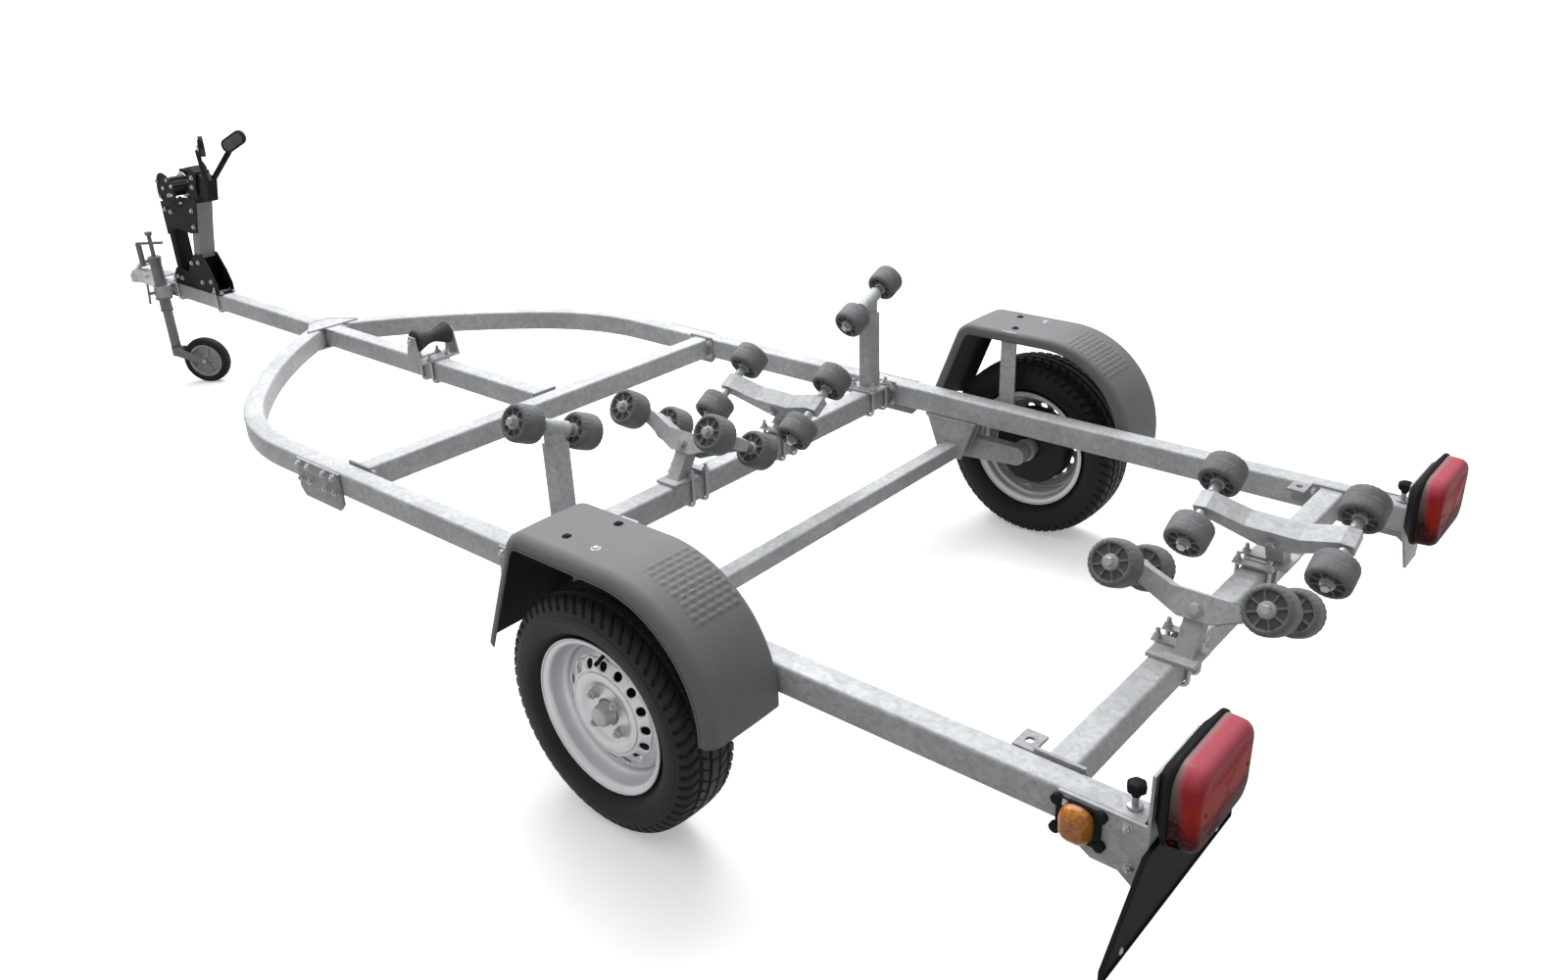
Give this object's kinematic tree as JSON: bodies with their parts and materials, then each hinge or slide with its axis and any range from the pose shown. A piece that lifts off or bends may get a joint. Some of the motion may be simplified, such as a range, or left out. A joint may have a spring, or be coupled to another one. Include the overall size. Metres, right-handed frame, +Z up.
{
  "type": "boat trailer",
  "caption": "Galvanised single-axle boat trailer with rocking roller cradles, side roller posts, winch post, jockey wheel and rear lamps.",
  "frame": {"origin": "on the ground, under the middle of the whole trailer's length and width", "axes": "+Y points to the trailer's rear, +X to its left, +Z up"},
  "size_m": [1.944, 5.374, 1.1157],
  "materials": {
    "galvanised_steel": "matt hot-dip zinc",
    "black_steel": "satin black paint",
    "zinc_plate": "bright zinc plate",
    "silver_rim": "silver paint",
    "hub_iron": "machined iron with a zinc cap",
    "tyre": "matt rubber",
    "roller_rubber": "matt rubber",
    "guard_plastic": "grained plastic",
    "black_plastic": "grained plastic",
    "red_lens": "glossy lens",
    "amber_lens": "glossy lens",
    "jockey_tyre": "solid rubber"
  },
  "bodies": {
    "frame": {"axle_brackets": "galvanised_steel", "axle_tube": "galvanised_steel", "beam_brackets": "galvanised_steel", "bow_stop_bracket": "black_steel", "bow_stop_pads": "roller_rubber", "clamp_knobs": "black_plastic", "coupling_head": "zinc_plate", "coupling_lever": "zinc_plate", "cradle_stems": "galvanised_steel", "drawbar": "galvanised_steel", "drawbar_gussets": "galvanised_steel", "front_crossbeam": "galvanised_steel", "jockey_clamp": "galvanised_steel", "jockey_crank": "zinc_plate", "jockey_outer_tube": "zinc_plate", "keel_roller_bracket": "galvanised_steel", "lamp_brackets": "galvanised_steel", "lamp_housings": "black_plastic", "lamp_lenses": "red_lens", "left_mudguard": "guard_plastic", "left_side_rail": "galvanised_steel", "left_swing_arm": "galvanised_steel", "middle_crossbeam": "galvanised_steel", "mudguard_stays": "galvanised_steel", "number_plate_board": "black_plastic", "rear_crossbeam": "galvanised_steel", "right_mudguard": "guard_plastic", "right_side_rail": "galvanised_steel", "right_swing_arm": "galvanised_steel", "side_markers": "amber_lens", "side_posts": "galvanised_steel", "winch_frame": "zinc_plate", "winch_stand": "black_steel"},
    "left_wheel": {"left_tyre": "tyre", "left_rim": "silver_rim", "left_hub": "hub_iron"},
    "right_wheel": {"right_tyre": "tyre", "right_rim": "silver_rim", "right_hub": "hub_iron"},
    "jockey_leg": {"jockey_leg": "zinc_plate"},
    "jockey_fork": {"jockey_fork": "zinc_plate"},
    "jockey_wheel": {"jockey_wheel": "jockey_tyre"},
    "winch_drum": {"winch_drum": "zinc_plate"},
    "winch_crank": {"winch_crank": "zinc_plate"},
    "keel_roller": {"keel_roller": "roller_rubber"},
    "left_post_rollers": {"left_post_rollers": "roller_rubber"},
    "right_post_rollers": {"right_post_rollers": "roller_rubber"},
    "middle_left_rocker": {"middle_left_rocker": "galvanised_steel"},
    "middle_left_front_rollers": {"middle_left_front_rollers": "roller_rubber"},
    "middle_left_rear_rollers": {"middle_left_rear_rollers": "roller_rubber"},
    "middle_right_rocker": {"middle_right_rocker": "galvanised_steel"},
    "middle_right_front_rollers": {"middle_right_front_rollers": "roller_rubber"},
    "middle_right_rear_rollers": {"middle_right_rear_rollers": "roller_rubber"},
    "rear_left_rocker": {"rear_left_rocker": "galvanised_steel"},
    "rear_left_front_rollers": {"rear_left_front_rollers": "roller_rubber"},
    "rear_left_rear_rollers": {"rear_left_rear_rollers": "roller_rubber"},
    "rear_right_rocker": {"rear_right_rocker": "galvanised_steel"},
    "rear_right_front_rollers": {"rear_right_front_rollers": "roller_rubber"},
    "rear_right_rear_rollers": {"rear_right_rear_rollers": "roller_rubber"}
  },
  "joints": [
    {"name": "left_wheel_spin", "type": "hinge", "parent": "frame", "child": "left_wheel", "pos_m": [0.886, 1.467, 0.281], "axis": [1, 0, 0], "continuous": true},
    {"name": "right_wheel_spin", "type": "hinge", "parent": "frame", "child": "right_wheel", "pos_m": [-0.886, 1.467, 0.281], "axis": [1, 0, 0], "continuous": true},
    {"name": "jockey_leg_slide", "type": "slide", "parent": "frame", "child": "jockey_leg", "axis": [0, 0, 1], "range_m": [-0.06, 0.14]},
    {"name": "jockey_fork_swivel", "type": "hinge", "parent": "jockey_leg", "child": "jockey_fork", "pos_m": [0.082, -2.255, 0.17], "axis": [0, 0, 1], "continuous": true},
    {"name": "jockey_wheel_spin", "type": "hinge", "parent": "jockey_fork", "child": "jockey_wheel", "pos_m": [0.00443, -2.15571, 0.1], "axis": [0.788, 0.6157, 0], "continuous": true},
    {"name": "winch_drum_spin", "type": "hinge", "parent": "frame", "child": "winch_drum", "pos_m": [0, -2.078, 0.866], "axis": [1, 0, 0], "continuous": true},
    {"name": "winch_crank_turn", "type": "hinge", "parent": "frame", "child": "winch_crank", "pos_m": [0, -2.012, 0.836], "axis": [1, 0, 0], "continuous": true},
    {"name": "keel_roller_spin", "type": "hinge", "parent": "frame", "child": "keel_roller", "pos_m": [0, -0.397, 0.525], "axis": [1, 0, 0], "continuous": true},
    {"name": "left_post_rollers_spin", "type": "hinge", "parent": "frame", "child": "left_post_rollers", "pos_m": [0.622, 1.015, 0.728], "axis": [0.9135, 0, 0.4067], "continuous": true},
    {"name": "right_post_rollers_spin", "type": "hinge", "parent": "frame", "child": "right_post_rollers", "pos_m": [-0.622, 1.015, 0.728], "axis": [-0.9135, 0, 0.4067], "continuous": true},
    {"name": "middle_left_rocker_tilt", "type": "hinge", "parent": "frame", "child": "middle_left_rocker", "pos_m": [0.18585, 1.015, 0.52984], "axis": [0.848, 0, 0.5299], "range_deg": [-15, 15]},
    {"name": "middle_left_front_rollers_spin", "type": "hinge", "parent": "middle_left_rocker", "child": "middle_left_front_rollers", "pos_m": [0.162, 0.86, 0.568], "axis": [0.848, 0, 0.5299], "continuous": true},
    {"name": "middle_left_rear_rollers_spin", "type": "hinge", "parent": "middle_left_rocker", "child": "middle_left_rear_rollers", "pos_m": [0.162, 1.17, 0.568], "axis": [0.848, 0, 0.5299], "continuous": true},
    {"name": "middle_right_rocker_tilt", "type": "hinge", "parent": "frame", "child": "middle_right_rocker", "pos_m": [-0.18585, 1.015, 0.52984], "axis": [-0.848, 0, 0.5299], "range_deg": [-15, 15]},
    {"name": "middle_right_front_rollers_spin", "type": "hinge", "parent": "middle_right_rocker", "child": "middle_right_front_rollers", "pos_m": [-0.162, 0.86, 0.568], "axis": [-0.848, 0, 0.5299], "continuous": true},
    {"name": "middle_right_rear_rollers_spin", "type": "hinge", "parent": "middle_right_rocker", "child": "middle_right_rear_rollers", "pos_m": [-0.162, 1.17, 0.568], "axis": [-0.848, 0, 0.5299], "continuous": true},
    {"name": "rear_left_rocker_tilt", "type": "hinge", "parent": "frame", "child": "rear_left_rocker", "pos_m": [0.20243, 2.437, 0.5349], "axis": [0.891, 0, 0.454], "range_deg": [-15, 15]},
    {"name": "rear_left_front_rollers_spin", "type": "hinge", "parent": "rear_left_rocker", "child": "rear_left_front_rollers", "pos_m": [0.182, 2.282, 0.575], "axis": [0.891, 0, 0.454], "continuous": true},
    {"name": "rear_left_rear_rollers_spin", "type": "hinge", "parent": "rear_left_rocker", "child": "rear_left_rear_rollers", "pos_m": [0.182, 2.592, 0.575], "axis": [0.891, 0, 0.454], "continuous": true},
    {"name": "rear_right_rocker_tilt", "type": "hinge", "parent": "frame", "child": "rear_right_rocker", "pos_m": [-0.20243, 2.437, 0.5349], "axis": [-0.891, 0, 0.454], "range_deg": [-15, 15]},
    {"name": "rear_right_front_rollers_spin", "type": "hinge", "parent": "rear_right_rocker", "child": "rear_right_front_rollers", "pos_m": [-0.182, 2.282, 0.575], "axis": [-0.891, 0, 0.454], "continuous": true},
    {"name": "rear_right_rear_rollers_spin", "type": "hinge", "parent": "rear_right_rocker", "child": "rear_right_rear_rollers", "pos_m": [-0.182, 2.592, 0.575], "axis": [-0.891, 0, 0.454], "continuous": true}
  ],
  "couplings": [
    {"joint": "winch_crank_turn", "follows": "winch_drum_spin", "ratio": -4}
  ]
}
